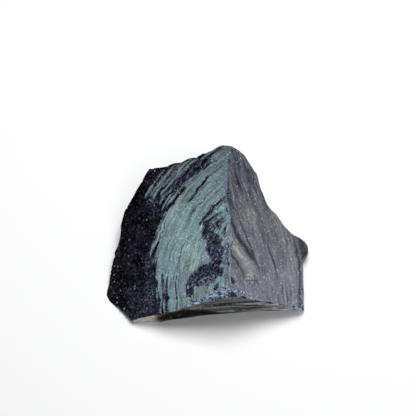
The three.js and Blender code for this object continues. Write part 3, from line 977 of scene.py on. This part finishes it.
def goldstoneGlass(name, shine):
    # blue aventurine glass, cast in a block and broken: near-black, full of tiny bright metal
    # flakes where it is smooth, and a pale sheen where the break is finely feathered, its pale
    # partly the feathered glass's own and partly painted reflection
    material = bpy.data.materials.new(name)
    material.use_nodes = True
    tree = material.node_tree
    shader = tree.nodes["Principled BSDF"]

    def add(kind, settings):
        return addNode(tree, kind, settings).outputs

    def calc(operation, *values, clamp=False):
        inputs = dict(enumerate(values))
        return add("Math", {"operation": operation, "use_clamp": clamp, **inputs})[0]

    def times(x, by, onto=0.0):
        return calc("MULTIPLY_ADD", x, by, onto)

    def swing(x, by, onto):
        # onto + by * (x - 0.5)
        return times(calc("SUBTRACT", x, 0.5), by, onto)

    def step(low, high, x):
        eased = {"interpolation_type": "SMOOTHSTEP"}
        return add("MapRange", {**eased, "From Min": low, "From Max": high, "Value": x})[0]

    def mix(share, a, b):
        return add("Mix", {"data_type": "RGBA", 0: share, 6: a, 7: b})[2]

    def ramp(x, stops):
        node = addNode(tree, "ValToRGB", {0: x})
        made = node.color_ramp.elements
        for element, (at, code) in zip((made[0], made[1]), (stops[0], stops[-1])):
            element.position, element.color = at, srgb(code)
        for at, code in stops[1:-1]:
            made.new(at).color = srgb(code)
        return node.outputs[0]

    def parted(colour):
        return list(add("SeparateColor", {0: colour}))

    def scaled(vector, by):
        return add("VectorMath", {"operation": "MULTIPLY", 0: vector, 1: by})[0]

    def dimmed(colour, by):
        return add("VectorMath", {"operation": "SCALE", 0: colour, "Scale": by})[0]

    def noise(vector, detail):
        settings = {"Vector": vector, "Scale": 1.0, "Detail": detail, "Roughness": 0.6}
        return add("TexNoise", settings)[0]

    names = "grain", "cover", "tint"
    grain, cover, tint = (add("Attribute", {"attribute_name": name}) for name in names)
    sheenCover, crumbCover, edgeCover = parted(cover["Color"])
    place = scaled(add("TexCoord", {})["Object"], (1000, 1000, 1000))  # millimetres

    def streaks(size, detail):
        return noise(scaled(grain["Vector"], (1 / size[0], 1 / size[1], 1)), detail)

    def specks(count, detail):
        return noise(scaled(place, (count,) * 3), detail)

    def cells(size):
        # each with a random brightness and hue, and the distance from its middle
        found = add("TexVoronoi", {"Scale": 1.0, "Vector": scaled(place, (1 / size,) * 3)})
        return *parted(found["Color"])[:2], found["Distance"]

    streak, fineStreak = streaks(glass["streak"], 3), streaks(glass["fineStreak"], 2)
    speckle, blotch = specks(glass["speckle"], 3), specks(glass["blotch"], 2)
    small, smallHue, _ = cells(glass["flake"])
    big, bigHue, bigAway = cells(glass["bigFlake"])
    bold = step(0.36, 0.64, streak)

    # sheen: covered where the cover, roughened by streaks and flakes, is over a half
    rough = sheenCover
    for source, by in zip((bold, fineStreak, speckle, small), glass["roughen"]):
        rough = swing(source, by, rough)
    covered = calc("POWER", step(*glass["coverRim"], rough), 1.3)

    # bare glass: brightness is the flake's own random number to a high power, so that few
    # are bright, over clouds of finer dust; the flakes are the glass's own, their brightness painted
    # glint
    glint = calc("POWER", small, 6.0)
    star = times(calc("POWER", big, 5.0), step(0.32, 0.12, bigAway))
    dust = ramp(blotch, glass["dust"])
    deep = mix(times(glint, glass["glint"]), dust, ramp(smallHue, glass["hues"]))
    deep = mix(times(star, glass["star"]), deep, ramp(bigHue, glass["hues"]))
    # the bloom's number is below nothing where the glass has hardly a flake
    deep = dimmed(deep, calc("ADD", calc("MINIMUM", cover["Alpha"], 0.0), 1.0))
    grit = times(step(0.36, 0.72, specks(glass["grit"], 2)), 0.2)
    grit = times(calc("POWER", small, 5.0), 0.85, grit)
    deep = mix(times(cover["Alpha"], grit), deep, ramp(smallHue, glass["bloom"]))

    # painted sheen: the sheen's colour, partly painted reflection, lighter and darker along the
    # streaks and from flake to flake
    shade = times(swing(fineStreak, 1.0, swing(bold, 0.24, 0.0)), tint["Alpha"], 0.95)
    shade = times(step(0.58, 0.68, streaks(glass["hair"], 1)), -0.15, shade)
    shade = times(calc("POWER", small, 9.0), 1.0, swing(speckle, 1.0, shade))
    shade = calc("MAXIMUM", swing(blotch, 0.7, shade), 0.15)
    paintedSheen = dimmed(tint["Color"], shade)
    # big flakes show through the sheen as pale sparks, their brightness painted glint
    paintedSheen = mix(times(star, glass["starInSheen"]), paintedSheen, ramp(bigHue, glass["sparks"]))
    colour = mix(covered, deep, paintedSheen)

    # crumbs and worn edges: bruised glass with dark gaps, and blue-white streaks in it that are
    # painted glints
    bit = cells(glass["crumb"])[0]
    tilt = {"vector_type": "TEXTURE", "Rotation": (0, -0.52, 0), "Scale": (1.3, 0.45, 0.45)}
    bruise = noise(add("Mapping", {**tilt, "Vector": place})[0], 4)
    dark, pale = map(srgb, glass["bruisesAndGlints"])
    bits = mix(step(0.46, 0.36, bruise), ramp(bit, glass["crumbs"]), dark)
    bits = mix(step(0.52, 0.63, bruise), bits, pale)
    crumbs = step(0.35, 0.8, swing(small, 0.5, swing(speckle, 1.2, crumbCover)))
    worn = step(0.42, 0.75, swing(bit, 0.5, swing(speckle, 1.2, edgeCover)))
    colour = mix(times(worn, 0.6), mix(times(crumbs, 0.9), colour, bits), bits)

    # gloss: bare glass shines, sheen and crumbs are satin
    gloss = swing(speckle, 0.15, times(covered, 0.3, 0.12))
    metal = calc("MULTIPLY", calc("MAXIMUM", glint, star), times(covered, -0.2, 0.3), clamp=True)
    height = times(speckle, 0.4, times(fineStreak, 0.5, streak))
    height = times(height, times(covered, 0.8, 0.2))
    strength, distance = glass["bump"]
    bump = add("Bump", {"Strength": strength, "Distance": distance, "Height": height})[0]
    ends = {"Base Color": colour, "Roughness": gloss, "Metallic": metal, "Normal": bump}
    for slot, source in ends.items():
        tree.links.new(source, shader.inputs[slot])
    shader.inputs["IOR"].default_value = 1.52
    shader.inputs["Specular IOR Level"].default_value = shine
    return material


# the front was broken first and is worn dull; the other breaks are fresh
stoneMesh.materials.append(goldstoneGlass("aventurine glass, cast and broken", 0.1))
stoneMesh.materials.append(goldstoneGlass("aventurine glass, broken and worn dull", 0.02))
stoneMesh.polygons.foreach_set("material_index", np.isin(owners, frontOwners).astype(np.int32))
print("glass made")

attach(stone, "root")
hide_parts("goldstone_chunk")

# floor and light

studio = {
    "floor": 2,  # m from its middle to each side
    "paper": ("#fafafa", 0.9),  # colour, roughness
    "sky": ("#eef2f8", 0.09),  # colour, strength
    "aim": (0, 0, 0.01),
    # place in m, width in m, power in watts
    "lamps": {"key": ((0.06, 0.2, 0.6), 0.35, 3.9), "fill": ((0.25, -0.4, 0.6), 0.4, 1.2)},
}

s = studio["floor"]
floorMesh = bpy.data.meshes.new("floor")
floorMesh.from_pydata([(-s, -s, 0), (s, -s, 0), (s, s, 0), (-s, s, 0)], [], [(0, 1, 2, 3)])
floor = addObject("floor", floorMesh)
paper = bpy.data.materials.new("white paper sweep, matt")  # a bright ground with no shine
paper.use_nodes = True
matt = paper.node_tree.nodes["Principled BSDF"].inputs
matt["Base Color"].default_value = srgb(studio["paper"][0])
matt["Roughness"].default_value = studio["paper"][1]
floorMesh.materials.append(paper)

world = bpy.data.worlds.new("studio")
bpy.context.scene.world = world
world.use_nodes = True
sky = world.node_tree.nodes["Background"].inputs
sky[0].default_value, sky[1].default_value = srgb(studio["sky"][0]), studio["sky"][1]

for name, (place, size, power) in studio["lamps"].items():
    data = bpy.data.lights.new(name, "AREA")
    data.shape, data.size, data.energy = "SQUARE", size, power
    placeLooking(name, data, place, Vector(studio["aim"]) - Vector(place))
bpy.context.scene.view_settings.view_transform = "Standard"
